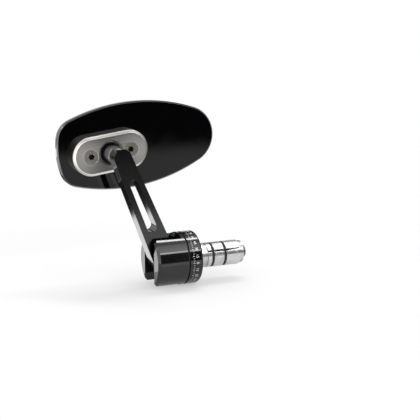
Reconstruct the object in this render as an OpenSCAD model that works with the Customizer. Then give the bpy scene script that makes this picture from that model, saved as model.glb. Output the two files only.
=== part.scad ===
// Motorcycle bar end mirror on a folding arm.
// X runs along the handlebar, away from the mirror. Y runs rearward, Z up.
// The origin is on the bar's axis, where the collar meets the end of the bar.

/* [Bar end body] */
// diameter of the fork body and the collar
bar_end_d = 36; // [30:0.5:42]
// length of the fork body outside the collar
fork_l = 21.5; // [16:0.5:28]
// width of the slot between the two ears
slot_w = 17.6; // [13:0.2:20]
// distance from the origin to the slot's floor
slot_floor = 12.5; // [11.5:0.5:15]
// chamfer round the ears' outer end
ear_chamfer = 1.6; // [0.3:0.1:2.5]

/* [Collar] */
// distance from the bar end to the fork body
collar_l = 10.5; // [8:0.5:14]
// section of the two rubber rings
ring_section = 1.2; // [0.8:0.1:1.8]
// wall of the collar
collar_wall = 1.75; // [1.2:0.05:3]

/* [Pivot] */
// distance from the origin to the pivot's axis
pivot_x = 22.1; // [20:0.1:26]
// diameter of the pivot screw's shank
pivot_d = 8; // [6:0.5:10]
// diameter of the pivot screw's head
pivot_head_d = 13; // [10:0.5:15]
// thickness of each nylon washer
washer_t = 1.3; // [0.8:0.1:2]

/* [Arm] */
// distance from the pivot to the ball stud
arm_l = 77.3; // [60:0.1:100]
// lean of the arm outward
arm_lean = 22.05; // [0:0.05:45]
// thickness of the arm
arm_t = 11; // [7:0.5:13]
// radius of the arm's foot
foot_r = 8.5; // [7:0.1:10]
// radius of the arm's top
top_r = 6; // [5:0.1:8]
// start of the long window, from the pivot
window_from = 22.6; // [18:0.1:30]
// end of the long window, from the pivot
window_to = 61.5; // [50:0.1:66]
// half width of the window at its lower end
window_r0 = 3.4; // [2:0.1:4.5]
// half width of the window at its upper end
window_r1 = 2.8; // [1.5:0.1:3.5]

/* [Ball joint] */
// diameter of the ball
ball_d = 14; // [10:0.5:16]
// distance from the arm's middle plane to the ball's centre
ball_y = 23; // [19:0.1:30]
// diameter of the stud's barrel
stud_d = 12; // [9:0.5:13]
// thickness of the ball's liners
liner_t = 1.15; // [0.8:0.05:1.4]

/* [Clamp plate] */
// distance between the centres of the plate's round ends
plate_c = 26.5; // [20:0.1:32]
// width of the plate at its base
plate_w = 26.2; // [20:0.1:32]
// thickness of the plate
plate_t = 8.5; // [7:0.1:11]
// bevel round the plate's face
plate_bevel = 1.7; // [0.4:0.1:2.5]
// depth of the ball's centre behind the plate's face
ball_depth = 5; // [4.5:0.1:6]
// distance of each screw from the plate's end
screw_in = 12.45; // [10:0.05:15]
// diameter of the two screws
screw_d = 5; // [4:0.5:6]
// turn of the plate about the ball stud
plate_turn = 7.5; // [-30:0.5:30]

/* [Mirror head] */
// distance from the plate's centre to the blunt end
head_left = 34.7; // [28:0.1:45]
// radius of the blunt end
head_end_r = 54; // [40:0.5:80]
// radius of the two corners beside the blunt end
head_corner_r = 14.5; // [10:0.1:20]
// radius of the long upper and lower edges
head_side_r = 122.7; // [90:0.5:160]
// thickness of the shell
shell_t = 6.8; // [6.6:0.1:10]
// height of the head's middle above the plate's middle
head_up = 1.8; // [-5:0.1:8]
// turn of the head against the plate
head_turn = 1.9; // [-10:0.1:10]
// bevel round the back of the shell
back_bevel = 0.9; // [0.5:0.1:2.5]
// bevel round the front of the shell, over twice its own depth
front_bevel = 1.5; // [0.5:0.1:1.8]
// width of the shell's rim round the glass
glass_edge = 3; // [2.4:0.1:5]
// thickness of the glass
glass_t = 2.5; // [1.8:0.1:3]

/* [Bar clamp] */
// diameter of the clamp inside the bar
plug_d = 17; // [13:0.1:19]
// length of the three jaws
jaw_l = 24; // [18:0.5:32]
// length of the cone nut beyond the jaws
nut_rim = 3; // [2:0.1:5]
// diameter of the clamp bolt
bolt_d = 8; // [6:0.5:8]

/* [Hidden] */
$fn = 72;
R = bar_end_d / 2;
slot_h = slot_w / 2;
fork_end = -(collar_l + fork_l);
spigot_r = R - collar_wall - 0.05;
pilot_l = 6;
ledge_top = R - 4;
ledge_low = R - 8.6;
stop_x = slot_floor + 3;
pin_seat = R - 5.7;
bolt_head_r = 0.81 * bolt_d;
bolt_seat = -4;
arm_h = arm_t / 2;
ball_r = ball_d / 2;
screw_x = (plate_c + plate_w) / 2 - screw_in;
ball_x = -pivot_x - arm_l * sin(arm_lean);
ball_z = arm_l * cos(arm_lean);
pocket_r = ball_r + liner_t + 0.1;
plate_front = -ball_depth;
plate_back = plate_front + plate_t;
shell_back = plate_back;
shell_front = shell_back + shell_t;
pocket_floor = shell_front - glass_t - 0.7;
jaw_from = pilot_l + 1.6;
cone_slope = 0.3;
cone_from = jaw_from + jaw_l - 10;
grooves = [jaw_from + 3, jaw_from + jaw_l / 2];
jaw_bore = bolt_d / 2 + 0.8;
a1 = 166.9;
a2 = 108.9;
a3 = 65.9;
c1 = [-head_left + head_end_r, 0];
p1 = c1 + head_end_r * [cos(a1), sin(a1)];
c2 = p1 - head_corner_r * [cos(a1), sin(a1)];
p2 = c2 + head_corner_r * [cos(a2), sin(a2)];
c3 = p2 - head_side_r * [cos(a2), sin(a2)];
p3 = c3 + head_side_r * [cos(a3), sin(a3)];
tip_r = p3[1] / sin(a3);
c4 = p3 - tip_r * [cos(a3), sin(a3)];

// a round bar along X from x0 to x1
module along_x(x0, x1, r0, r1) {
    translate([x0, 0, 0]) rotate([0, 90, 0])
        cylinder(h = x1 - x0, r1 = r0, r2 = r1);
}

// a round bar along Y from y0 to y1
module along_y(y0, y1, r0, r1) {
    translate([0, y0, 0]) rotate([-90, 0, 0])
        cylinder(h = y1 - y0, r1 = r0, r2 = r1);
}

// places what follows at the pivot, with Z along the arm
module at_arm() {
    translate([-pivot_x, 0, 0]) rotate([0, -arm_lean, 0]) children();
}

// places what follows at the ball's centre, turned with the plate
module at_ball() {
    translate([ball_x, ball_y, ball_z]) rotate([0, -plate_turn, 0]) children();
}

// an outline drawn in X and Z, from y0 to y1
module upright(y0, y1) {
    translate([0, y1, 0]) rotate([90, 0, 0]) linear_extrude(height = y1 - y0) children();
}

// two circles on the Z axis with their common tangents
module tapered_slot(z0, r0, z1, r1) {
    s = (r0 - r1) / (z1 - z0);
    c = sqrt(1 - s * s);
    translate([0, z0]) circle(r = r0);
    translate([0, z1]) circle(r = r1);
    polygon([[r0 * c, z0 + r0 * s], [r1 * c, z1 + r1 * s],
        [-r1 * c, z1 + r1 * s], [-r0 * c, z0 + r0 * s]]);
}

module fork_body() {
    color("#17181a") difference() {
        union() {
            along_x(fork_end, fork_end + ear_chamfer, R - ear_chamfer, R);
            along_x(fork_end + ear_chamfer, -collar_l, R, R);
            along_x(-collar_l, 0, spigot_r, spigot_r);
        }
        difference() {
            translate([fork_end - 1, -slot_h, -R - 1])
                cube([-slot_floor - fork_end + 1, slot_w, 2 * R + 2]);
            upright(-slot_h, slot_h) polygon([[-slot_floor, ledge_low],
                [-slot_floor - 3.6, ledge_low], [-slot_floor - 5.7, ledge_top],
                [-slot_floor, ledge_top]]);
        }
        along_x(-slot_floor - 1, bolt_seat + 1, bolt_head_r + 0.32, bolt_head_r + 0.32);
        along_x(bolt_seat, 1, bolt_d / 2 + 0.06, bolt_d / 2 + 0.06);
        translate([-pivot_x, 0, 0]) {
            along_y(-R + 2.2, 0, pivot_d / 2 + 0.03, pivot_d / 2 + 0.03);
            along_y(0, pin_seat + 1, pivot_d / 2 + 0.2, pivot_d / 2 + 0.2);
            along_y(pin_seat, R + 1, pivot_head_d / 2 + 0.25, pivot_head_d / 2 + 0.25);
        }
        translate([-stop_x, 0, ledge_top - 2.4]) cylinder(h = 3, r = 1.55);
    }
}

module collar_ring() {
    color("#1b1c1f") difference() {
        along_x(-collar_l + ring_section, -ring_section, R, R);
        along_x(-collar_l, 0, R - collar_wall, R - collar_wall);
    }
}

module rubber_ring(x) {
    color("#0d0d0e") translate([x, 0, 0]) rotate([0, 90, 0])
        rotate_extrude() translate([spigot_r + ring_section / 2, 0])
            circle(d = ring_section, $fn = 16);
}

module rubber_ring_outer() {
    rubber_ring(-collar_l + ring_section / 2);
}

module rubber_ring_inner() {
    rubber_ring(-ring_section / 2);
}

module pivot_screw() {
    color("#3c3e42") translate([-pivot_x, 0, 0]) difference() {
        union() {
            along_y(-R + 3, pin_seat, pivot_d / 2, pivot_d / 2);
            along_y(pin_seat, R - 2.2, pivot_head_d / 2, pivot_head_d / 2);
            along_y(R - 2.2, R - 1.6, pivot_head_d / 2, pivot_head_d / 2 - 0.6);
        }
        translate([0, pin_seat + 0.9, 0]) rotate([-90, 0, 0])
            cylinder(h = 4, r = 3.46, $fn = 6);
    }
}

module disc_y(y0, y1, r, bore) {
    translate([-pivot_x, 0, 0]) difference() {
        along_y(y0, y1, r, r);
        along_y(y0 - 1, y1 + 1, bore, bore);
    }
}

module spacer_front() {
    color("#232427") disc_y(-slot_h, -arm_h - washer_t, foot_r - 0.9, pivot_d / 2 + 0.1);
}

module spacer_rear() {
    color("#232427") disc_y(arm_h + washer_t, slot_h, foot_r - 0.9, pivot_d / 2 + 0.1);
}

module washer_front() {
    color("#222427") disc_y(-arm_h - washer_t, -arm_h, foot_r - 0.6, pivot_d / 2 + 0.15);
}

module washer_rear() {
    color("#222427") disc_y(arm_h, arm_h + washer_t, foot_r - 0.6, pivot_d / 2 + 0.15);
}

module stop_screw() {
    color("#12171b") translate([-stop_x, 0, ledge_top]) {
        translate([0, 0, -2.2]) cylinder(h = 3, r = 1.5);
        difference() {
            union() {
                cylinder(h = 2.2, r = 2.9);
                intersection() {
                    translate([0, 0, 0.9]) sphere(r = 3.18, $fn = 40);
                    translate([0, 0, 2.2]) cylinder(h = 3, r = 2.9);
                }
            }
            translate([0, 0, 2.6]) cylinder(h = 3, r = 1.15, $fn = 6);
        }
    }
}

module arm() {
    color("#1a1a1c") difference() {
        at_arm() difference() {
            upright(-arm_h, arm_h) tapered_slot(0, foot_r, arm_l, top_r);
            upright(-arm_h - 1, arm_h + 1)
                tapered_slot(window_from + window_r0, window_r0, window_to - window_r1, window_r1);
            along_y(-arm_h - 1, arm_h + 1, pivot_d / 2 + 0.06, pivot_d / 2 + 0.06);
        }
        translate([ball_x, 0, ball_z]) along_y(-2.5, arm_h + 1, 4.03, 4.03);
    }
}

// turns a profile drawn as radius and Y into a solid about the Y axis
module turned_y() {
    rotate([-90, 0, 0]) rotate_extrude($fn = 60) children();
}

// the part of a circle about the ball's centre between y0 and y1
module ball_profile(r, y0, y1) {
    intersection() {
        circle(r = r, $fn = 48);
        translate([0, y0]) square([r + 1, y1 - y0]);
    }
}

module ball_stud() {
    from = arm_h - ball_y;
    c = stud_d / 2;
    color("#b9bbbf") translate([ball_x, ball_y, ball_z]) turned_y() {
        polygon([[0, from - 7.6], [4, from - 7.6], [4, from], [c - 0.5, from],
            [c, from + 0.5], [c, -2.5], [0, -2.5]]);
        ball_profile(ball_r, -ball_r, 3.4);
    }
}

// a zone of a spherical shell round the front of the ball
module ball_liner_front() {
    color("#222427") at_ball() difference() {
        intersection() {
            sphere(r = pocket_r - 0.05, $fn = 40);
            along_y(-0.34 * ball_r, -0.17 * ball_r, 2 * ball_r, 2 * ball_r);
        }
        sphere(r = ball_r + 0.05, $fn = 40);
    }
}

// a ring with a hollow seat, held in the plate by the shell
module ball_liner_rear() {
    color("#222427") at_ball() difference() {
        along_y(0.14 * ball_r, plate_back - 0.05, pocket_r - 0.05, pocket_r - 0.05);
        sphere(r = ball_r + 0.05, $fn = 40);
    }
}

// the plate's outline over its full thickness, with its edge leaning from e0 to e1
module plate_slab(e0, e1) {
    r0 = plate_w / 2 - e0;
    r1 = plate_w / 2 - e1;
    for (m = [0, 1]) mirror([m, 0, 0]) intersection() {
        translate([plate_c / 2, 0, 0]) along_y(plate_front, plate_back, r0, r1);
        translate([plate_c / 2, plate_front, -30]) cube([60, plate_t, 60]);
    }
    translate([-plate_c / 2, 0, 0]) rotate([90, 0, 90]) linear_extrude(height = plate_c)
        polygon([[plate_front, -r0], [plate_back, -r1], [plate_back, r1], [plate_front, r0]]);
}

module clamp_plate() {
    color("#c9cbce") at_ball() difference() {
        intersection() {
            plate_slab(plate_bevel, plate_bevel - plate_t);
            plate_slab(0, 0);
        }
        turned_y() {
            ball_profile(pocket_r, plate_front - 1, 0);
            square([pocket_r, plate_back + 1]);
            polygon([[0, plate_front - 1], [9.9, plate_front - 1], [7, plate_front + 1.9],
                [0, plate_front + 1.9]]);
        }
        for (s = [-1, 1]) translate([s * screw_x, 0, 0]) {
            along_y(plate_front - 1, plate_front + 0.5, 0.98 * screw_d, 0.98 * screw_d);
            along_y(plate_front + 0.4, plate_front + 0.4 + 0.44 * screw_d,
                0.95 * screw_d, 0.51 * screw_d);
            along_y(plate_front, plate_back + 1, 0.55 * screw_d, 0.55 * screw_d);
        }
    }
}

// a countersunk screw with a six-lobed recess
module plate_screw() {
    top = plate_front + 0.5;
    recess = 0.34 * screw_d;
    difference() {
        union() {
            along_y(top, top + 0.44 * screw_d, 0.92 * screw_d, 0.48 * screw_d);
            along_y(top + 0.38 * screw_d, shell_back + 2.3, screw_d / 2, screw_d / 2);
        }
        along_y(top - 1.2, top + recess, 0.35 * screw_d, 0.35 * screw_d);
        for (a = [0:60:300]) rotate([0, a, 0]) translate([0.35 * screw_d, 0, 0])
            along_y(top - 1, top + recess - 0.1, 0.09 * screw_d, 0.09 * screw_d);
    }
}

module plate_screw_left() {
    color("#a9abae") at_ball() translate([-screw_x, 0, 0]) plate_screw();
}

module plate_screw_right() {
    color("#a9abae") at_ball() translate([screw_x, 0, 0]) plate_screw();
}

// n points of an arc about c, from angle a up to just before angle b
function arc_points(c, r, a, b, n) =
    [for (i = [0:n - 1]) c + r * [cos(a + (b - a) * i / n), sin(a + (b - a) * i / n)]];

// the head's outline drawn in by e: tip, upper edge, corner, blunt end, corner, lower edge
function head_outline(e) = concat(
    arc_points(c4, tip_r - e, -a3, a3, 24),
    arc_points(c3, head_side_r - e, a3, a2, 18),
    arc_points(c2, head_corner_r - e, a2, a1, 9),
    arc_points(c1, head_end_r - e, a1, 360 - a1, 10),
    arc_points([c2[0], -c2[1]], head_corner_r - e, 360 - a1, 360 - a2, 9),
    arc_points([c3[0], -c3[1]], head_side_r - e, 360 - a2, 360 - a3, 18));

// places the head's outline in X and Z, with its thickness running from y on
module at_head(y) {
    at_ball() translate([0, y, head_up]) rotate([0, head_turn, 0]) rotate([-90, 0, 0])
        children();
}

// a straight-edged plate of the head's outline from y0 to y1
module head_plate(y0, y1, e) {
    at_head(y0) linear_extrude(height = y1 - y0) polygon(head_outline(e));
}

// a body through copies of the head's outline, each given as its depth and draw-in
module head_body(rings) {
    n = len(head_outline(0));
    last = len(rings) - 1;
    polyhedron(
        points = [for (ring = rings) for (p = head_outline(ring[1])) [p[0], p[1], ring[0]]],
        faces = concat(
            [[for (i = [0:n - 1]) i], [for (i = [n - 1:-1:0]) last * n + i]],
            [for (k = [0:last - 1]) for (i = [0:n - 1])
                [k * n + i, (k + 1) * n + i, (k + 1) * n + (i + 1) % n, k * n + (i + 1) % n]]));
}

module mirror_shell() {
    color("#0c0c0e") difference() {
        at_head(shell_back) head_body([[0, back_bevel], [back_bevel, 0],
            [shell_t - 2 * front_bevel, 0], [shell_t, front_bevel]]);
        head_plate(pocket_floor, shell_front + 1, glass_edge);
        at_ball() turned_y() ball_profile(pocket_r, 1, pocket_floor - 1.5);
        at_ball() for (s = [-1, 1]) translate([s * screw_x, 0, 0])
            along_y(shell_back - 1, shell_back + 2.6, screw_d / 2 + 0.03, screw_d / 2 + 0.03);
    }
}

module glass_pad() {
    color("#2a2a2a") head_plate(pocket_floor, pocket_floor + 0.5, glass_edge + 1);
}

module mirror_glass() {
    from = pocket_floor + 0.5;
    color("#c6d2da") head_plate(from, from + glass_t, glass_edge + 0.15);
}

module clamp_bolt() {
    color("#5a5c60") difference() {
        union() {
            along_x(bolt_seat - bolt_d, bolt_seat - bolt_d + 0.5, bolt_head_r - 0.5, bolt_head_r);
            along_x(bolt_seat - bolt_d + 0.5, bolt_seat, bolt_head_r, bolt_head_r);
            along_x(bolt_seat, jaw_from + jaw_l + nut_rim + 3, bolt_d / 2, bolt_d / 2);
        }
        translate([bolt_seat - bolt_d - 1, 0, 0]) rotate([0, 90, 0])
            cylinder(h = 5.5, r = 0.43 * bolt_d, $fn = 6);
    }
}

module disc_x(x0, x1, r, bore) {
    difference() {
        along_x(x0, x1, r, r);
        along_x(x0 - 1, x1 + 1, bore, bore);
    }
}

module bolt_washer() {
    color("#8c8e92") disc_x(bolt_seat, bolt_seat + 1, bolt_head_r, bolt_d / 2 + 0.15);
}

module bar_sleeve() {
    color("#77797d") disc_x(0, pilot_l, plug_d / 2, bolt_d / 2 + 0.1);
}

module thrust_washer() {
    color("#8c8e92") disc_x(pilot_l, pilot_l + 1.5, plug_d / 2 - 0.3, bolt_d / 2 + 0.15);
}

// one third of the split sleeve, with its middle at angle a from the top
module jaw(a) {
    rotate([a, 0, 0]) intersection() {
        difference() {
            along_x(jaw_from, jaw_from + jaw_l, plug_d / 2, plug_d / 2);
            along_x(jaw_from - 1, jaw_from + jaw_l + 1, jaw_bore, jaw_bore);
            along_x(cone_from, jaw_from + jaw_l + 1, jaw_bore,
                jaw_bore + (jaw_from + jaw_l + 1 - cone_from) * cone_slope);
            for (x = grooves) difference() {
                along_x(x, x + 1.8, R, R);
                along_x(x - 1, x + 3, plug_d / 2 - 1.6, plug_d / 2 - 1.6);
            }
        }
        translate([0, 0, 0.7]) rotate([90, 0, 90]) linear_extrude(height = 60)
            polygon([[0, 0], [17.32, 10], [17.32, 20], [-17.32, 20], [-17.32, 10]]);
    }
}

module jaw_top() {
    color("#77797d") jaw(0);
}

module jaw_front() {
    color("#77797d") jaw(120);
}

module jaw_rear() {
    color("#77797d") jaw(240);
}

module jaw_band(x) {
    color("#0d0d0e") translate([x, 0, 0]) rotate([0, 90, 0])
        rotate_extrude() translate([plug_d / 2 - 0.55, 0]) circle(r = 0.45, $fn = 16);
}

module jaw_band_near() {
    jaw_band(grooves[0] + 0.9);
}

module jaw_band_far() {
    jaw_band(grooves[1] + 0.9);
}

module cone_nut() {
    from = cone_from + 3;
    color("#8c8e92") difference() {
        union() {
            along_x(from, jaw_from + jaw_l, jaw_bore + 3 * cone_slope - 0.1,
                jaw_bore + (jaw_from + jaw_l - cone_from) * cone_slope - 0.1);
            along_x(jaw_from + jaw_l, jaw_from + jaw_l + nut_rim,
                jaw_bore + (jaw_from + jaw_l - cone_from) * cone_slope - 0.1,
                jaw_bore + (jaw_from + jaw_l - cone_from) * cone_slope - 0.1);
        }
        along_x(from - 1, jaw_from + jaw_l + nut_rim + 1, bolt_d / 2 + 0.05, bolt_d / 2 + 0.05);
    }
}

fork_body();
collar_ring();
rubber_ring_outer();
rubber_ring_inner();
pivot_screw();
spacer_front();
spacer_rear();
washer_front();
washer_rear();
stop_screw();
arm();
ball_stud();
ball_liner_front();
ball_liner_rear();
clamp_plate();
plate_screw_left();
plate_screw_right();
mirror_shell();
glass_pad();
mirror_glass();
clamp_bolt();
bolt_washer();
bar_sleeve();
thrust_washer();
jaw_top();
jaw_front();
jaw_rear();
jaw_band_near();
jaw_band_far();
cone_nut();
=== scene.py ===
import math

import bmesh
import bpy
from mathutils import Matrix, Vector


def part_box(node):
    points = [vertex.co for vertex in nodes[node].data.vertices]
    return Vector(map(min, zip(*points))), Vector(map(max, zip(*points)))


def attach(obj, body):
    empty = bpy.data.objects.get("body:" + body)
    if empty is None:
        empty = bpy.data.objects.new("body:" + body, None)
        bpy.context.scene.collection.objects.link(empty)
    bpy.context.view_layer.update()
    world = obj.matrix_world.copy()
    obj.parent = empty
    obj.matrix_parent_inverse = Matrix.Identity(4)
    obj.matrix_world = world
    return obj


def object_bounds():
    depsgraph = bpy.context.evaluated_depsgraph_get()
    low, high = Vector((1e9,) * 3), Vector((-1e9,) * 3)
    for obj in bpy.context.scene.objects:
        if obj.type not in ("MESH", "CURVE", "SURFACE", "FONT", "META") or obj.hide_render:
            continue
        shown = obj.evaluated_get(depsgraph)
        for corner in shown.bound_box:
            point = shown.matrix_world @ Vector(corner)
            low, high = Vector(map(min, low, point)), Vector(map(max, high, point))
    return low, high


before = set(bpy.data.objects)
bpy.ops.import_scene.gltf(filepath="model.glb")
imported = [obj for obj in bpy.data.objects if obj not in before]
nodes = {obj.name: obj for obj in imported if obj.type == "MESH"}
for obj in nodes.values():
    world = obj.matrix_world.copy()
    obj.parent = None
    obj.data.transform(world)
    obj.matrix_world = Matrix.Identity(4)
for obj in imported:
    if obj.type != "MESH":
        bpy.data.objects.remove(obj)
cad_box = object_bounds()


# Clamp inside the bar
# An M8 socket bolt draws a steel cone into three aluminium segments, which spread against the
# bar's bore. Two rubber bands hold the segments together, and a turned sleeve centres the body.
def bare_material(name, colour, metallic, roughness):
    """A new material with its shader, node list and links ready to work on."""
    mat = bpy.data.materials.new(name)
    mat.use_nodes = True
    tree = mat.node_tree
    shader = tree.nodes["Principled BSDF"]
    shader.inputs["Base Color"].default_value = (*colour, 1)
    shader.inputs["Metallic"].default_value = metallic
    shader.inputs["Roughness"].default_value = roughness
    return mat, tree, shader


def noise_at(tree, scale, stretch=(1, 1, 1), detail=3.0):
    """Noise in the object's own space, with scale given in bumps per metre."""
    place = tree.nodes.new("ShaderNodeTexCoord")
    mapping = tree.nodes.new("ShaderNodeMapping")
    mapping.inputs["Scale"].default_value = stretch
    noise = tree.nodes.new("ShaderNodeTexNoise")
    noise.inputs["Scale"].default_value = scale
    noise.inputs["Detail"].default_value = detail
    tree.links.new(place.outputs["Object"], mapping.inputs["Vector"])
    tree.links.new(mapping.outputs["Vector"], noise.inputs["Vector"])
    return noise.outputs["Fac"]


def spread(tree, value, low, high):
    """Maps a texture value from its middle half onto low to high."""
    fit = tree.nodes.new("ShaderNodeMapRange")
    fit.inputs["From Min"].default_value = 0.3
    fit.inputs["From Max"].default_value = 0.7
    fit.inputs["To Min"].default_value = low
    fit.inputs["To Max"].default_value = high
    tree.links.new(value, fit.inputs["Value"])
    return fit.outputs["Result"]


def tint(tree, value, dark, light):
    """Runs a texture value through two colours."""
    ramp = tree.nodes.new("ShaderNodeValToRGB")
    ramp.color_ramp.elements[0].position = 0.35
    ramp.color_ramp.elements[0].color = (*dark, 1)
    ramp.color_ramp.elements[1].position = 0.65
    ramp.color_ramp.elements[1].color = (*light, 1)
    tree.links.new(value, ramp.inputs["Fac"])
    return ramp.outputs["Color"]


def press_in(tree, shader, value, depth):
    """Uses a texture value as relief, with its depth in metres."""
    bump = tree.nodes.new("ShaderNodeBump")
    bump.inputs["Strength"].default_value = 1.0
    bump.inputs["Distance"].default_value = depth
    tree.links.new(value, bump.inputs["Height"])
    tree.links.new(bump.outputs["Normal"], shader.inputs["Normal"])


def worked_metal(name, dark, light, rough, lines, depth):
    """Metal with tool marks: lines is how the marks are stretched along X, Y and Z."""
    mid = [(a + b) / 2 for a, b in zip(dark, light)]
    mat, tree, shader = bare_material(name, mid, metallic=1, roughness=sum(rough) / 2)
    marks = noise_at(tree, scale=1500, stretch=lines, detail=4)
    cloud = noise_at(tree, scale=160)
    tree.links.new(tint(tree, cloud, dark, light), shader.inputs["Base Color"])
    tree.links.new(spread(tree, marks, *rough), shader.inputs["Roughness"])
    press_in(tree, shader, marks, depth)
    return mat


def finish(name, mat):
    """Gives a piece its material in every slot."""
    for place in nodes[name].material_slots:
        place.material = mat


def edge_group():
    """A group that joins split corners and smooths all but the true edges."""
    one_point = 2e-6
    true_edge = math.radians(24)
    group = bpy.data.node_groups.new("joined_surface", "GeometryNodeTree")
    group.interface.new_socket("Geometry", in_out="INPUT", socket_type="NodeSocketGeometry")
    group.interface.new_socket("Geometry", in_out="OUTPUT", socket_type="NodeSocketGeometry")
    start = group.nodes.new("NodeGroupInput")
    merge = group.nodes.new("GeometryNodeMergeByDistance")
    merge.inputs["Distance"].default_value = one_point
    forget = group.nodes.new("GeometryNodeRemoveAttribute")
    forget.inputs["Name"].default_value = "custom_normal"
    smooth = group.nodes.new("GeometryNodeSetShadeSmooth")
    angle = group.nodes.new("GeometryNodeInputMeshEdgeAngle")
    steep = group.nodes.new("FunctionNodeCompare")
    steep.inputs["B"].default_value = true_edge
    sharp = group.nodes.new("GeometryNodeSetShadeSmooth")
    sharp.domain = "EDGE"
    sharp.inputs["Shade Smooth"].default_value = False
    end = group.nodes.new("NodeGroupOutput")
    join = group.links.new
    join(start.outputs[0], merge.inputs["Geometry"])
    join(merge.outputs["Geometry"], forget.inputs["Geometry"])
    join(forget.outputs["Geometry"], smooth.inputs["Geometry"])
    join(angle.outputs["Unsigned Angle"], steep.inputs["A"])
    join(steep.outputs["Result"], sharp.inputs["Selection"])
    join(smooth.outputs["Geometry"], sharp.inputs["Geometry"])
    join(sharp.outputs["Geometry"], end.inputs[0])
    return group


joined_surface = edge_group()


def break_edges(name, width):
    """Smooths a piece, and takes its sharp edges off by a width in metres."""
    obj = nodes[name]
    join = obj.modifiers.new("joined", "NODES")
    join.node_group = joined_surface
    if width:
        bevel = obj.modifiers.new("broken_edges", "BEVEL")
        bevel.width = width
        bevel.segments = 2
        bevel.limit_method = "ANGLE"
        bevel.angle_limit = math.radians(35)
        bevel.use_clamp_overlap = True
        bevel.harden_normals = True


mm = 0.001
all_ways = (1, 1, 1)
around_x = (1, 0.02, 0.02)
zinc = worked_metal("zinc_plate", dark=(0.42, 0.43, 0.45), light=(0.58, 0.58, 0.56),
                    rough=(0.24, 0.42), lines=around_x, depth=2e-6)
bolt_steel = worked_metal("bolt_steel", dark=(0.10, 0.10, 0.11), light=(0.17, 0.17, 0.18),
                          rough=(0.3, 0.5), lines=all_ways, depth=4e-6)
turned_alloy = worked_metal("turned_alloy", dark=(0.52, 0.52, 0.53), light=(0.66, 0.66, 0.66),
                            rough=(0.26, 0.4), lines=around_x, depth=5e-6)
rubber, rubber_tree, rubber_shader = bare_material("rubber", (0.014, 0.014, 0.015), metallic=0,
                                                   roughness=0.62)
rubber_tree.links.new(spread(rubber_tree, noise_at(rubber_tree, scale=900), low=0.5, high=0.75),
                      rubber_shader.inputs["Roughness"])
press_in(rubber_tree, rubber_shader, noise_at(rubber_tree, scale=3500), depth=6e-6)
finish("clamp_bolt", bolt_steel)
break_edges("clamp_bolt", 0.15 * mm)
for part in ("bolt_washer", "thrust_washer", "cone_nut"):
    finish(part, zinc)
    break_edges(part, 0.12 * mm)
for part in ("bar_sleeve", "jaw_top", "jaw_front", "jaw_rear"):
    finish(part, turned_alloy)
    break_edges(part, 0.2 * mm)
for part in ("jaw_band_near", "jaw_band_far"):
    finish(part, rubber)


# Bolt thread
# The free end of the bolt stands out of the cone with its coarse M8 thread. It is rolled, so
# its crests are slightly round.
def bolt_thread(start, end, radius, pitch, depth):
    """A helical ridge about the X axis, from start to end."""
    mesh = bpy.data.meshes.new("bolt_thread")
    bm = bmesh.new()
    steps = 40
    sunk = 0.05 * mm
    root_half = 0.45
    crest_half = 0.1
    rise_per_turn = 3
    thin_end = 0.02
    turns = (end - start) / pitch - 1
    section = ((0.0, -root_half), (1.0, -crest_half), (1.0, crest_half), (0.0, root_half))
    rows = []
    for i in range(int(steps * turns) + 1):
        turn = i / steps
        a = 2 * math.pi * turn
        height = min(1.0, rise_per_turn * turn, rise_per_turn * (turns - turn))
        row = []
        for out, along in section:
            r = radius - sunk + depth * out * max(height, thin_end)
            x = start + pitch * (turn + 0.5 + along)
            row.append(bm.verts.new((x, r * math.cos(a), r * math.sin(a))))
        rows.append(row)
    for near, far in zip(rows, rows[1:]):
        for k in range(len(section)):
            m = (k + 1) % len(section)
            bm.faces.new((near[k], near[m], far[m], far[k]))
    bm.faces.new(rows[0])
    bm.faces.new(rows[-1][::-1])
    bmesh.ops.recalc_face_normals(bm, faces=bm.faces)
    bm.to_mesh(mesh)
    bm.free()
    for face in mesh.polygons:
        face.use_smooth = False
    return bpy.data.objects.new("bolt_thread", mesh)


bolt_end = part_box("clamp_bolt")[1].x
cone_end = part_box("cone_nut")[1].x
thread = bolt_thread(start=cone_end + 0.05 * mm, end=bolt_end - 0.1 * mm, radius=4 * mm,
                     pitch=1.25 * mm, depth=0.16 * mm)
bpy.context.scene.collection.objects.link(thread)
thread.data.materials.append(bolt_steel)
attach(thread, "bar_clamp")


# Bar end body
# Turned from aluminium bar, slotted to leave two ears, polished and anodised black, so that it
# reflects like dark glass. Fine turning lines run round it.
def dark_anodised(name, colour, rough, lines, ior):
    """Deep black anodising over worked metal, with faint tool marks."""
    mat, tree, shader = bare_material(name, colour, metallic=0, roughness=sum(rough) / 2)
    shader.inputs["IOR"].default_value = ior
    marks = noise_at(tree, scale=1400, stretch=lines)
    cloud = noise_at(tree, scale=120)
    light = [c * 1.6 + 0.001 for c in colour]
    tree.links.new(tint(tree, cloud, colour, light), shader.inputs["Base Color"])
    tree.links.new(spread(tree, marks, *rough), shader.inputs["Roughness"])
    press_in(tree, shader, marks, depth=0.6e-6)
    return mat


polished_black = dark_anodised("polished_black", colour=(0.006, 0.006, 0.0065),
                               rough=(0.05, 0.11), lines=around_x, ior=1.5)
finish("fork_body", polished_black)
break_edges("fork_body", 0.15 * mm)


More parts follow.
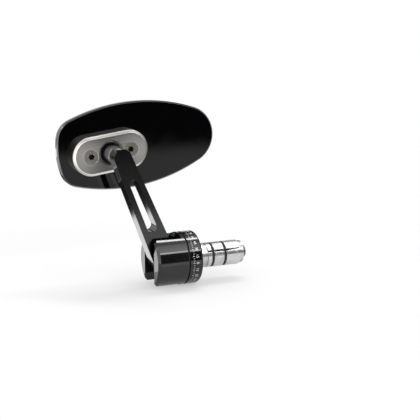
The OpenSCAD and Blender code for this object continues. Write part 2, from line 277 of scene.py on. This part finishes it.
# Collar and its rings
# A separate black ring between the body and the bar, set off by a rubber ring on each side.
# White index marks with plain numbers run round it, so that the turn of the mirror can be read.
collar_black = dark_anodised("collar_black", colour=(0.004, 0.004, 0.0045), rough=(0.06, 0.12),
                             lines=around_x, ior=1.5)
finish("collar_ring", collar_black)
break_edges("collar_ring", 0.15 * mm)
for part in ("rubber_ring_outer", "rubber_ring_inner"):
    finish(part, rubber)
collar_low, collar_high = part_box("collar_ring")
collar_r = collar_high.z
ink, ink_tree, ink_shader = bare_material("index_white", (0.85, 0.85, 0.85), metallic=0,
                                          roughness=0.5)
ink_tree.links.new(tint(ink_tree, noise_at(ink_tree, scale=1800), dark=(0.78, 0.78, 0.78),
                        light=(0.9, 0.9, 0.9)), ink_shader.inputs["Base Color"])
mark_lift = 0.03 * mm
number_x = collar_low.x + 0.62 * (collar_high.x - collar_low.x)
number_h = 2.6 * mm
number_step = 15
tick_x = number_x - 1.9 * mm
tick_half = 0.12 * mm
tick_step = 5
long_tick = 1.3 * mm
short_tick = 0.8 * mm
scale_end = 90


def lay_on_collar(flat, name):
    """Turns a flat mesh, drawn in X along the bar and Y round it, onto the collar."""
    longest = 0.6 * mm
    bm = bmesh.new()
    bm.from_mesh(flat)
    bmesh.ops.subdivide_edges(bm, edges=[e for e in bm.edges if e.calc_length() > longest],
                              cuts=2)
    for v in bm.verts:
        a = v.co.y / collar_r
        r = collar_r + mark_lift
        v.co = Vector((v.co.x, -r * math.cos(a), r * math.sin(a)))
    mesh = bpy.data.meshes.new(name)
    bm.to_mesh(mesh)
    bm.free()
    return mesh


def index_marks():
    """The ticks and numbers, drawn flat and then laid on the collar."""
    flat = bpy.data.meshes.new("flat_marks")
    bm = bmesh.new()
    for degree in range(-scale_end, scale_end + 1, tick_step):
        start = tick_x - (short_tick if degree % number_step else long_tick)
        y = math.radians(degree) * collar_r
        low = y - tick_half
        high = y + tick_half
        corners = ((start, low), (tick_x, low), (tick_x, high), (start, high))
        bm.faces.new([bm.verts.new((*p, 0)) for p in corners])
    bm.to_mesh(flat)
    bm.free()
    pieces = [flat]
    for degree in range(-scale_end, scale_end + 1, number_step):
        letters = bpy.data.curves.new("number", "FONT")
        letters.body = str(abs(degree))
        letters.size = number_h
        letters.align_x = "CENTER"
        letters.align_y = "CENTER"
        letters.resolution_u = 3
        holder = bpy.data.objects.new("number", letters)
        drawn = bpy.data.meshes.new_from_object(holder)
        y = math.radians(degree) * collar_r
        across = Matrix.Rotation(-math.pi / 2, 4, "Z")
        drawn.transform(Matrix.Translation((number_x, y, 0)) @ across)
        pieces.append(drawn)
        bpy.data.objects.remove(holder)
    bm = bmesh.new()
    for piece in pieces:
        bm.from_mesh(piece)
    joined = bpy.data.meshes.new("joined_marks")
    bmesh.ops.triangulate(bm, faces=bm.faces)
    bm.to_mesh(joined)
    bm.free()
    return lay_on_collar(joined, "collar_marks")


marks = bpy.data.objects.new("collar_marks", index_marks())
bpy.context.scene.collection.objects.link(marks)
marks.data.materials.append(ink)
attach(marks, "fork")


# Pivot
# A steel screw through both ears carries the arm between dark plastic washers and black spacers.
# Its head sits in the rear ear, out of sight from the front.
oxide = worked_metal("black_oxide", dark=(0.035, 0.035, 0.04), light=(0.06, 0.06, 0.066),
                     rough=(0.22, 0.38), lines=all_ways, depth=2e-6)
finish("pivot_screw", oxide)
break_edges("pivot_screw", 0.2 * mm)
for part in ("spacer_front", "spacer_rear"):
    finish(part, polished_black)
    break_edges(part, 0.12 * mm)
plastic, plastic_tree, plastic_shader = bare_material("dark_plastic", (0.02, 0.02, 0.022),
                                                      metallic=0, roughness=0.42)
plastic_tree.links.new(tint(plastic_tree, noise_at(plastic_tree, scale=260),
                            dark=(0.016, 0.016, 0.018), light=(0.026, 0.026, 0.029)),
                       plastic_shader.inputs["Base Color"])
press_in(plastic_tree, plastic_shader, noise_at(plastic_tree, scale=2600), depth=3e-6)
for part in ("washer_front", "washer_rear"):
    finish(part, plastic)
    break_edges(part, 0.1 * mm)


# Stop screw
# A small domed socket screw of blued steel, driven into the floor of the slot beside the arm's
# foot. The arm comes to rest on it at the inner end of its swing.
blued = worked_metal("blued_steel", dark=(0.012, 0.017, 0.021), light=(0.02, 0.028, 0.034),
                     rough=(0.16, 0.26), lines=all_ways, depth=1e-6)
finish("stop_screw", blued)
break_edges("stop_screw", 0.08 * mm)


# Arm
# Milled from aluminium plate with a long window through it, anodised black with a soft sheen.
# Its edges have a fine chamfer that catches the light.
arm_black = dark_anodised("arm_black", colour=(0.002, 0.002, 0.0022), rough=(0.1, 0.16),
                          lines=(1, 0.05, 1), ior=1.5)
finish("arm", arm_black)
break_edges("arm", 0.3 * mm)


# Ball stud
# Dark polished steel, pressed into the arm's top. Its barrel runs back into the clamp plate, where
# two dark plastic liners hold the ball.
stud_steel = worked_metal("stud_steel", dark=(0.27, 0.27, 0.28), light=(0.36, 0.36, 0.37),
                          rough=(0.03, 0.09), lines=(1, 0.03, 1), depth=1.5e-6)
finish("ball_stud", stud_steel)
break_edges("ball_stud", 0)
for part in ("ball_liner_front", "ball_liner_rear"):
    finish(part, plastic)
    break_edges(part, 0)


# Clamp plate and its screws
# Machined aluminium with a wide bright bevel and a brushed face, held to the shell by two
# countersunk stainless screws with six-lobed recesses.
def brushed_plate(name, left, right):
    """Brushed metal with the fine rings that the cutter left from one screw round to the other."""
    mat, tree, shader = bare_material(name, (0.44, 0.43, 0.4), metallic=1, roughness=0.4)
    half = (right - left).length / 2
    place = tree.nodes.new("ShaderNodeTexCoord")
    offset = tree.nodes.new("ShaderNodeVectorMath")
    offset.operation = "SUBTRACT"
    offset.inputs[1].default_value = (left + right) / 2
    level = tree.nodes.new("ShaderNodeVectorRotate")
    level.rotation_type = "Y_AXIS"
    level.inputs["Angle"].default_value = math.atan2(right.z - left.z, right.x - left.x)
    split = tree.nodes.new("ShaderNodeSeparateXYZ")
    nearest = tree.nodes.new("ShaderNodeClamp")
    nearest.inputs["Min"].default_value = -half
    nearest.inputs["Max"].default_value = half
    beyond = tree.nodes.new("ShaderNodeMath")
    beyond.operation = "SUBTRACT"
    flat = tree.nodes.new("ShaderNodeCombineXYZ")
    length = tree.nodes.new("ShaderNodeVectorMath")
    length.operation = "LENGTH"
    rings = tree.nodes.new("ShaderNodeTexNoise")
    rings.noise_dimensions = "1D"
    rings.inputs["Scale"].default_value = 1200
    rings.inputs["Detail"].default_value = 3
    tree.links.new(place.outputs["Object"], offset.inputs[0])
    tree.links.new(offset.outputs["Vector"], level.inputs["Vector"])
    tree.links.new(level.outputs["Vector"], split.inputs["Vector"])
    tree.links.new(split.outputs["X"], nearest.inputs["Value"])
    tree.links.new(split.outputs["X"], beyond.inputs[0])
    tree.links.new(nearest.outputs["Result"], beyond.inputs[1])
    tree.links.new(beyond.outputs["Value"], flat.inputs["X"])
    tree.links.new(split.outputs["Z"], flat.inputs["Z"])
    tree.links.new(flat.outputs["Vector"], length.inputs[0])
    tree.links.new(length.outputs["Value"], rings.inputs["W"])
    marks = rings.outputs["Fac"]
    tree.links.new(tint(tree, marks, dark=(0.37, 0.36, 0.34), light=(0.54, 0.53, 0.5)),
                   shader.inputs["Base Color"])
    tree.links.new(spread(tree, marks, low=0.29, high=0.44), shader.inputs["Roughness"])
    press_in(tree, shader, marks, depth=5e-6)
    round_hole = tree.nodes.new("ShaderNodeTangent")
    round_hole.direction_type = "RADIAL"
    round_hole.axis = "Y"
    shader.inputs["Anisotropic"].default_value = 0.72
    tree.links.new(round_hole.outputs["Tangent"], shader.inputs["Tangent"])
    return mat


def box_middle(name):
    """The middle of a piece's outer box."""
    low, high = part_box(name)
    return (low + high) / 2


plate_metal = brushed_plate("brushed_plate", box_middle("plate_screw_left"),
                            box_middle("plate_screw_right"))
finish("clamp_plate", plate_metal)
break_edges("clamp_plate", 0.25 * mm)


def own_point(tree):
    """X, Y and Z of a point in the object's own space."""
    place = tree.nodes.new("ShaderNodeTexCoord")
    split = tree.nodes.new("ShaderNodeSeparateXYZ")
    tree.links.new(place.outputs["Object"], split.inputs["Vector"])
    return split.outputs


def deep_dark(mat, face_y, dark):
    """Darkens a material behind the face at face_y with painted shade, like the shade deep in a
    recess.
    """
    unshaded_to = face_y + 0.1 * mm
    dark_from = face_y + 0.7 * mm
    tree = mat.node_tree
    shader = tree.nodes["Principled BSDF"]
    fade = tree.nodes.new("ShaderNodeMapRange")
    fade.inputs["From Min"].default_value = unshaded_to
    fade.inputs["From Max"].default_value = dark_from
    mix = tree.nodes.new("ShaderNodeMix")
    mix.data_type = "RGBA"
    mix.inputs["B"].default_value = (*dark, 1)
    tree.links.new(own_point(tree)["Y"], fade.inputs["Value"])
    tree.links.new(fade.outputs["Result"], mix.inputs["Factor"])
    tree.links.new(shader.inputs["Base Color"].links[0].from_socket, mix.inputs["A"])
    tree.links.new(mix.outputs["Result"], shader.inputs["Base Color"])


screw_steel = worked_metal("screw_steel", dark=(0.34, 0.32, 0.28), light=(0.44, 0.42, 0.37),
                           rough=(0.3, 0.42), lines=all_ways, depth=2e-6)
# Painted shade: the screws turn darker behind their face, down into the six-lobed recesses.
deep_dark(screw_steel, face_y=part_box("plate_screw_left")[0].y, dark=(0.02, 0.018, 0.015))
for part in ("plate_screw_left", "plate_screw_right"):
    finish(part, screw_steel)
    break_edges(part, 0.1 * mm)


# Mirror head
# A thin shell machined from plate and finished in gloss black, with the silvered glass held in
# its front by a foam pad.
gloss, gloss_tree, gloss_shader = bare_material("gloss_black", (0.0015, 0.0015, 0.002),
                                                metallic=0, roughness=0.06)
gloss_shader.inputs["IOR"].default_value = 1.8
gloss_tree.links.new(spread(gloss_tree, noise_at(gloss_tree, scale=90), low=0.04, high=0.09),
                     gloss_shader.inputs["Roughness"])
press_in(gloss_tree, gloss_shader, noise_at(gloss_tree, scale=160, detail=1.0), depth=1.2e-6)
finish("mirror_shell", gloss)
break_edges("mirror_shell", 0.25 * mm)
foam, foam_tree, foam_shader = bare_material("foam_tape", (0.05, 0.05, 0.05), metallic=0,
                                             roughness=0.9)
press_in(foam_tree, foam_shader, noise_at(foam_tree, scale=2500), depth=3e-5)
finish("glass_pad", foam)
silvered, glass_tree, glass_shader = bare_material("silvered_glass", (0.82, 0.86, 0.88),
                                                   metallic=1, roughness=0.02)
glass_shader.inputs["Coat Weight"].default_value = 1.0
glass_shader.inputs["Coat Roughness"].default_value = 0.01
glass_tree.links.new(spread(glass_tree, noise_at(glass_tree, scale=40), low=0.012, high=0.028),
                     glass_shader.inputs["Roughness"])
finish("mirror_glass", silvered)
break_edges("mirror_glass", 0.3 * mm)


# Floor and surroundings
# A pale sheet under the mirror, in a plain white room. The black and glowing cards round it show
# only in reflections, and draw the light and dark fields of the black surfaces.
def shown_white(tree):
    """1 for camera, mirror and glass rays, and 0 for the rays that light the object."""
    path = tree.nodes.new("ShaderNodeLightPath")
    shown = path.outputs["Is Camera Ray"]
    for ray in ("Is Glossy Ray", "Is Transmission Ray"):
        either = tree.nodes.new("ShaderNodeMath")
        either.operation = "MAXIMUM"
        tree.links.new(shown, either.inputs[0])
        tree.links.new(path.outputs[ray], either.inputs[1])
        shown = either.outputs[0]
    return shown


def times(tree, first, second):
    """The product of two values, each of them a number or another node's result."""
    product = tree.nodes.new("ShaderNodeMath")
    product.operation = "MULTIPLY"
    for place, factor in zip(product.inputs, (first, second)):
        if isinstance(factor, (int, float)):
            place.default_value = factor
        else:
            tree.links.new(factor, place)
    return product.outputs[0]


def soft_step(tree, value, nil, full):
    """0 where the value reaches nil and 1 where it reaches full, with a smooth change between."""
    fade = tree.nodes.new("ShaderNodeMapRange")
    fade.interpolation_type = "SMOOTHSTEP"
    fade.inputs["From Min"].default_value = nil
    fade.inputs["From Max"].default_value = full
    tree.links.new(value, fade.inputs["Value"])
    return fade.outputs["Result"]


def flat_card(name, axis, at, low, high, mat):
    """A studio card square to an axis. Along the other two it runs from low to high."""
    n = "XYZ".index(axis)
    ring = (low, (high[0], low[1]), high, (low[0], high[1]))
    mesh = bpy.data.meshes.new(name)
    mesh.from_pydata([(*p[:n], at, *p[n:]) for p in ring], [], [(0, 1, 2, 3)])
    card = bpy.data.objects.new(name, mesh)
    bpy.context.scene.collection.objects.link(card)
    mesh.materials.append(mat)
    return card


world = bpy.data.worlds.new("white_room")
bpy.context.scene.world = world
world.use_nodes = True
sky = world.node_tree.nodes["Background"]
sky.inputs["Color"].default_value = (1, 1, 1, 1)
sky.inputs["Strength"].default_value = 1.0

sheet, sheet_tree, sheet_shader = bare_material("white_sheet", (0.35, 0.35, 0.35), metallic=0,
                                                roughness=0.9)
near_edge = 0.2
near_glow = 0.45
far_edge = 1.6
far_glow = 0.66
place = sheet_tree.nodes.new("ShaderNodeTexCoord")
away = sheet_tree.nodes.new("ShaderNodeVectorMath")
away.operation = "LENGTH"
sheet_tree.links.new(place.outputs["Object"], away.inputs[0])
lamps_fade = sheet_tree.nodes.new("ShaderNodeMapRange")
lamps_fade.interpolation_type = "SMOOTHSTEP"
lamps_fade.inputs["From Min"].default_value = near_edge
lamps_fade.inputs["From Max"].default_value = far_edge
lamps_fade.inputs["To Min"].default_value = near_glow
lamps_fade.inputs["To Max"].default_value = far_glow
sheet_tree.links.new(away.outputs["Value"], lamps_fade.inputs["Value"])
sheet_shader.inputs["Emission Color"].default_value = (1, 1, 1, 1)
sheet_shader.inputs["Specular IOR Level"].default_value = 0.0
sheet_tree.links.new(times(sheet_tree, shown_white(sheet_tree), lamps_fade.outputs["Result"]),
                     sheet_shader.inputs["Emission Strength"])
floor_z = cad_box[0].z
sheet_reach = 12.0
flat_card("floor", "Z", floor_z, (-sheet_reach, -sheet_reach), (sheet_reach, sheet_reach), sheet)


def card_paint(name):
    """Matt black that can take a white glow."""
    mat, tree, shader = bare_material(name, (0, 0, 0), metallic=0, roughness=1)
    shader.inputs["Specular IOR Level"].default_value = 0.0
    shader.inputs["Emission Color"].default_value = (1, 1, 1, 1)
    shader.inputs["Emission Strength"].default_value = 0.0
    return mat, tree, shader


def graded(name, limits, strength):
    """A glow with soft sides: each limit is an axis, where the glow is nil and where it is full."""
    mat, tree, shader = card_paint(name)
    point = own_point(tree)
    glow = strength
    for axis, nil, full in limits:
        glow = times(tree, glow, soft_step(tree, point[axis], nil, full))
    tree.links.new(glow, shader.inputs["Emission Strength"])
    return mat


def stepped(name, levels, sides, strength):
    """A glow that follows levels along Y, and turns into an even half glow past its X sides."""
    mat, tree, shader = card_paint(name)
    point = own_point(tree)
    start = levels[0][0]
    end = levels[-1][0]
    along = tree.nodes.new("ShaderNodeMapRange")
    along.inputs["From Min"].default_value = start
    along.inputs["From Max"].default_value = end
    tree.links.new(point["Y"], along.inputs["Value"])
    ramp = tree.nodes.new("ShaderNodeValToRGB")
    ramp.color_ramp.interpolation = "EASE"
    while len(ramp.color_ramp.elements) < len(levels):
        ramp.color_ramp.elements.new(0.5)
    for stop, (y, value) in zip(ramp.color_ramp.elements, levels):
        stop.position = (y - start) / (end - start)
        stop.color = (value, value, value, 1)
    tree.links.new(along.outputs["Result"], ramp.inputs["Fac"])
    inside = 1.0
    for nil, full in sides:
        inside = times(tree, inside, soft_step(tree, point["X"], nil, full))
    blend = tree.nodes.new("ShaderNodeMix")
    blend.inputs["A"].default_value = 0.5
    tree.links.new(inside, blend.inputs["Factor"])
    tree.links.new(ramp.outputs["Color"], blend.inputs["B"])
    tree.links.new(times(tree, blend.outputs["Result"], strength),
                   shader.inputs["Emission Strength"])
    return mat


def gloss_card(name, axis, at, low, high, mat):
    """A card that is in no view and casts no shadow, and shows only in reflections."""
    card = flat_card(name, axis, at, low, high, mat)
    card.visible_camera = False
    card.visible_diffuse = False
    card.visible_transmission = False
    card.visible_shadow = False
    card.visible_volume_scatter = False


front_wall = -1.0
rear_wall = 1.5
left_wall = -1.0
ceiling = 1.2
on_floor = floor_z + 1 * mm
over_floor = floor_z + 3 * mm
card_black = card_paint("card_black")[0]
gloss_card("front_card", "Y", front_wall, (-1.5, floor_z), (1.5, 0.69), card_black)
gloss_card("back_card", "Y", rear_wall, (-0.1, 0.62), (2.0, 1.6), card_black)
gloss_card("left_tall", "X", left_wall, (-0.8, floor_z), (-0.1, 2.3),
           graded("left_tall", limits=[("Z", 3.4, 0.6)], strength=2.3))
gloss_card("rim_card", "Z", over_floor, (-1.0, -0.4), (-0.2, -0.01),
           graded("rim_card", limits=[("X", -0.2, -0.24)], strength=3.0))
gloss_card("band_card", "Z", ceiling, (0.4, -1.4), (0.7, -0.3),
           graded("band_card", limits=[("Y", 0.9, -1.3)], strength=3.3))
gloss_card("front_bright", "Z", on_floor, (-1.5, -0.24), (1.5, -0.075),
           graded("front_bright", limits=[("Y", -0.24, -0.22)], strength=1.5))
gloss_card("front_dim", "Z", on_floor, (-1.5, front_wall), (1.5, -0.24),
           graded("front_dim", limits=[("Y", -0.54, -0.44)], strength=0.32))
gloss_card("rear_steps", "Z", on_floor, (-0.17, 0.03), (0.3, 0.6),
           stepped("rear_steps",
                   levels=[(0.03, 1.0), (0.112, 1.0), (0.126, 0.01), (0.25, 0.01), (0.52, 0.5)],
                   sides=[(-0.15, -0.10), (0.13, 0.05)], strength=2.2))
gloss_card("rear_band", "Z", on_floor, (-3.0, 0.6), (3.0, 2.4),
           stepped("rear_band", levels=[(0.6, 0.5), (1.0, 0.26), (1.3, 0.26), (2.3, 0.5)],
                   sides=[(-2.9, -2.0), (2.9, 2.0)], strength=2.2))
gloss_card("left_bright", "Z", on_floor, (-0.8, -0.02), (-0.17, 0.6),
           graded("left_bright", limits=[("X", -0.16, -0.19)], strength=2.8))


# Lamps
# Three soft panels at a plain level: one overhead and a little behind, a long one in front and
# above, and one at the left. They light the mirror and lay its soft shadow on the sheet.
middle = (cad_box[0] + cad_box[1]) / 2


def panel(name, place, width, height, power):
    """A soft box lamp that faces the middle of the mirror."""
    lamp = bpy.data.lights.new(name, "AREA")
    lamp.shape = "RECTANGLE"
    lamp.size = width
    lamp.size_y = height
    lamp.energy = power
    holder = bpy.data.objects.new(name, lamp)
    bpy.context.scene.collection.objects.link(holder)
    holder.location = place
    away = Vector(place) - middle
    holder.rotation_mode = "QUATERNION"
    holder.rotation_quaternion = away.to_track_quat("Z", "Y")


panel("overhead", place=(0.2, 0.34, 1.2), width=1.0, height=0.15, power=7.5)
panel("front_strip", place=(0.1, -0.95, 0.745), width=1.8, height=0.12, power=5.5)
panel("left_panel", place=(-1.1, -0.15, 0.7), width=0.5, height=0.7, power=2.0)


# Camera
# It stands where the photo was taken from: in front of the arm, a little to the outer side and
# above, at the distance that gives the photo's perspective.
photo_side = 420
focal_px = 1112.0
origin_px = (193.36, 256.15)
origin_depth = 758.1 * mm
azimuth = math.radians(23.73)
elevation = math.radians(12.24)
forward = Vector((math.sin(azimuth) * math.cos(elevation),
                  math.cos(azimuth) * math.cos(elevation), -math.sin(elevation)))
right = Vector((math.cos(azimuth), -math.sin(azimuth), 0))
up = right.cross(forward)
across = (origin_px[0] - photo_side / 2) / focal_px * origin_depth
above = (photo_side / 2 - origin_px[1]) / focal_px * origin_depth
lens = bpy.data.cameras.new("camera")
lens.sensor_width = 36
lens.lens = focal_px / photo_side * lens.sensor_width
camera = bpy.data.objects.new("camera", lens)
bpy.context.scene.collection.objects.link(camera)
camera.location = -(forward * origin_depth + right * across + up * above)
camera.rotation_mode = "QUATERNION"
camera.rotation_quaternion = forward.to_track_quat("-Z", "Y")
lens.clip_start = 0.05
lens.clip_end = 60
bpy.context.scene.camera = camera
bpy.context.scene.view_settings.view_transform = "Standard"
